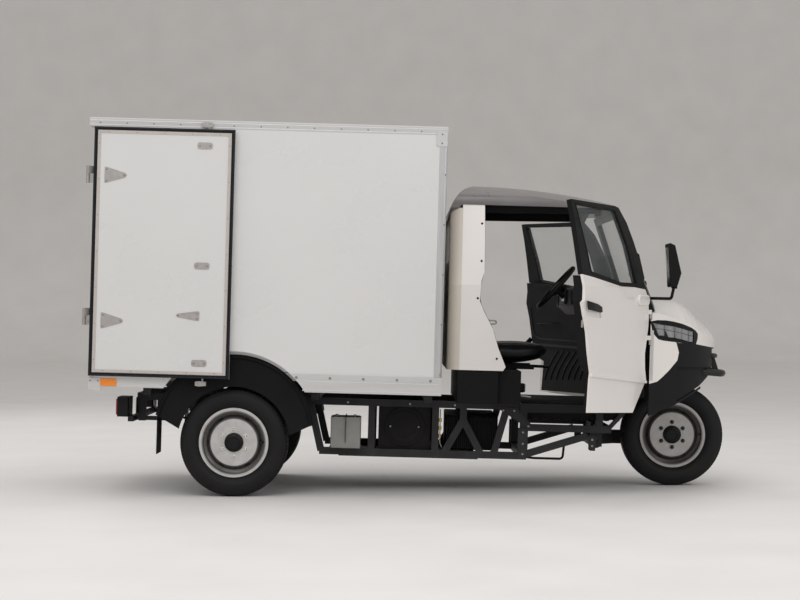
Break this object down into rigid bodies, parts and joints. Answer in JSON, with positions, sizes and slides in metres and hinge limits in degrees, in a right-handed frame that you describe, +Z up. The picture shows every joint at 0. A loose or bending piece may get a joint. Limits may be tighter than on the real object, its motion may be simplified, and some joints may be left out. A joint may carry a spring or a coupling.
{
  "type": "three wheeled car",
  "caption": "Small cab-forward delivery vehicle on three wheels with a tall insulated box body, swinging cab doors and double rear doors.",
  "frame": {"origin": "on the ground at mid length and mid width, all doors open as parked", "axes": "+X forward, +Y to the vehicle's left, +Z up; the body stands 1.6 degrees nose-down on its wheels"},
  "size_m": [3.7127, 3.0054, 2.1319],
  "materials": {
    "tyre": "matt, ribbed tread",
    "rim_silver": "silver paint, satin",
    "hub_grey": "dull machined metal",
    "axle_black": "black paint, dusty",
    "chassis_grey": "dark grey paint, satin",
    "battery_grey": "dark grey paint, satin",
    "battery_black": "black moulding",
    "arch_black": "black moulding, grained",
    "tail_lamp_red": "red lens",
    "box_white": "white paint, gloss",
    "box_floor_grey": "mill finish",
    "box_trim": "satin anodised",
    "leaf_seal": "black seal",
    "fittings_steel": "galvanised",
    "cab_white": "white paint, gloss",
    "roof_grey": "dark grey paint, satin",
    "cab_inner": "light paint, satin",
    "seat_base_black": "black paint, satin",
    "clear_glass": "clear",
    "surround_black": "black, gloss",
    "shroud_dark": "dark grey moulding",
    "lamp_clear": "clear lens over bright cells",
    "lamp_tray_black": "black, gloss",
    "bar_dark": "dark grey paint, satin",
    "mirror_black": "black moulding",
    "column_black": "black moulding",
    "dash_grey": "dark grey moulding",
    "seat_cover": "black cover"
  },
  "bodies": {
    "vehicle": {"battery_box": "battery_grey", "box_floor": "box_floor_grey", "box_front_wall": "box_white", "box_rear_frame": "box_trim", "box_roof": "box_trim", "box_sides": "box_white", "box_skirts": "box_trim", "bull_bars": "bar_dark", "cab_bulkhead": "arch_black", "cab_floor": "cab_inner", "cab_rear_wall": "cab_inner", "cab_roof": "roof_grey", "cab_sides": "cab_white", "chassis_frame": "chassis_grey", "corner_posts": "box_trim", "dashboard": "dash_grey", "front_arch": "arch_black", "front_fenders": "cab_white", "front_shroud": "shroud_dark", "front_swing_arm": "axle_black", "headlamps": "lamp_clear", "hinge_posts": "fittings_steel", "hood": "cab_white", "lamp_trays": "lamp_tray_black", "leaf_springs": "axle_black", "mirrors": "mirror_black", "rear_axle": "axle_black", "rear_fenders": "arch_black", "rear_window": "clear_glass", "seat": "seat_cover", "seat_base": "seat_base_black", "service_battery": "battery_black", "steering_column": "column_black", "tail_lamps": "tail_lamp_red", "windscreen": "clear_glass", "windscreen_frame": "surround_black"},
    "wheel_rear_left": {"tyre_rear_left": "tyre", "rim_rear_left": "rim_silver", "hub_rear_left": "hub_grey"},
    "wheel_rear_right": {"tyre_rear_right": "tyre", "rim_rear_right": "rim_silver", "hub_rear_right": "hub_grey"},
    "front_knuckle": {"steering_knuckle": "axle_black"},
    "wheel_front": {"tyre_front": "tyre", "rim_front": "rim_silver", "hub_front": "hub_grey"},
    "steering_wheel": {"steering_wheel": "column_black"},
    "cab_door_right": {"door_frame_right": "surround_black", "door_glass_right": "clear_glass", "door_skin_right": "cab_white"},
    "cab_door_left": {"door_frame_left": "surround_black", "door_glass_left": "clear_glass", "door_skin_left": "cab_white"},
    "rear_leaf_right": {"leaf_gasket_right": "leaf_seal", "leaf_hardware_right": "fittings_steel", "rear_leaf_right": "box_white"},
    "rear_leaf_left": {"leaf_gasket_left": "leaf_seal", "leaf_hardware_left": "fittings_steel", "rear_leaf_left": "box_white"}
  },
  "joints": [
    {"name": "rear_left_spin", "type": "hinge", "parent": "vehicle", "child": "wheel_rear_left", "pos_m": [-1.01561, 0.69, 0.304], "axis": [0, 1, 0], "continuous": true},
    {"name": "rear_right_spin", "type": "hinge", "parent": "vehicle", "child": "wheel_rear_right", "pos_m": [-1.01561, -0.69, 0.304], "axis": [0, 1, 0], "continuous": true},
    {"name": "front_steering", "type": "hinge", "parent": "vehicle", "child": "front_knuckle", "pos_m": [1.55239, 0.028, 0.304], "axis": [0.0279, 0, 0.9996], "range_deg": [-30, 30]},
    {"name": "front_spin", "type": "hinge", "parent": "front_knuckle", "child": "wheel_front", "pos_m": [1.55239, 0, 0.304], "axis": [0, 1, 0], "continuous": true},
    {"name": "steering_wheel_turn", "type": "hinge", "parent": "vehicle", "child": "steering_wheel", "pos_m": [0.85927, 0, 1.18711], "axis": [0.7415, 0, -0.6709], "range_deg": [-450, 450]},
    {"name": "cab_door_right_swing", "type": "hinge", "parent": "vehicle", "child": "cab_door_right", "pos_m": [1.33641, -0.68, 0.93469], "axis": [0.0279, 0, 0.9996], "range_deg": [-61, 9]},
    {"name": "cab_door_left_swing", "type": "hinge", "parent": "vehicle", "child": "cab_door_left", "pos_m": [1.33641, 0.68, 0.93469], "axis": [-0.0279, 0, -0.9996], "range_deg": [-57, 13]},
    {"name": "rear_leaf_right_swing", "type": "hinge", "parent": "vehicle", "child": "rear_leaf_right", "pos_m": [-1.83747, -0.8255, 1.32346], "axis": [0.0279, 0, 0.9996], "range_deg": [-270, 0]},
    {"name": "rear_leaf_left_swing", "type": "hinge", "parent": "vehicle", "child": "rear_leaf_left", "pos_m": [-1.83747, 0.8255, 1.32346], "axis": [-0.0279, 0, -0.9996], "range_deg": [-270, 0]}
  ],
  "couplings": [
    {"joint": "steering_wheel_turn", "follows": "front_steering", "ratio": -15}
  ]
}
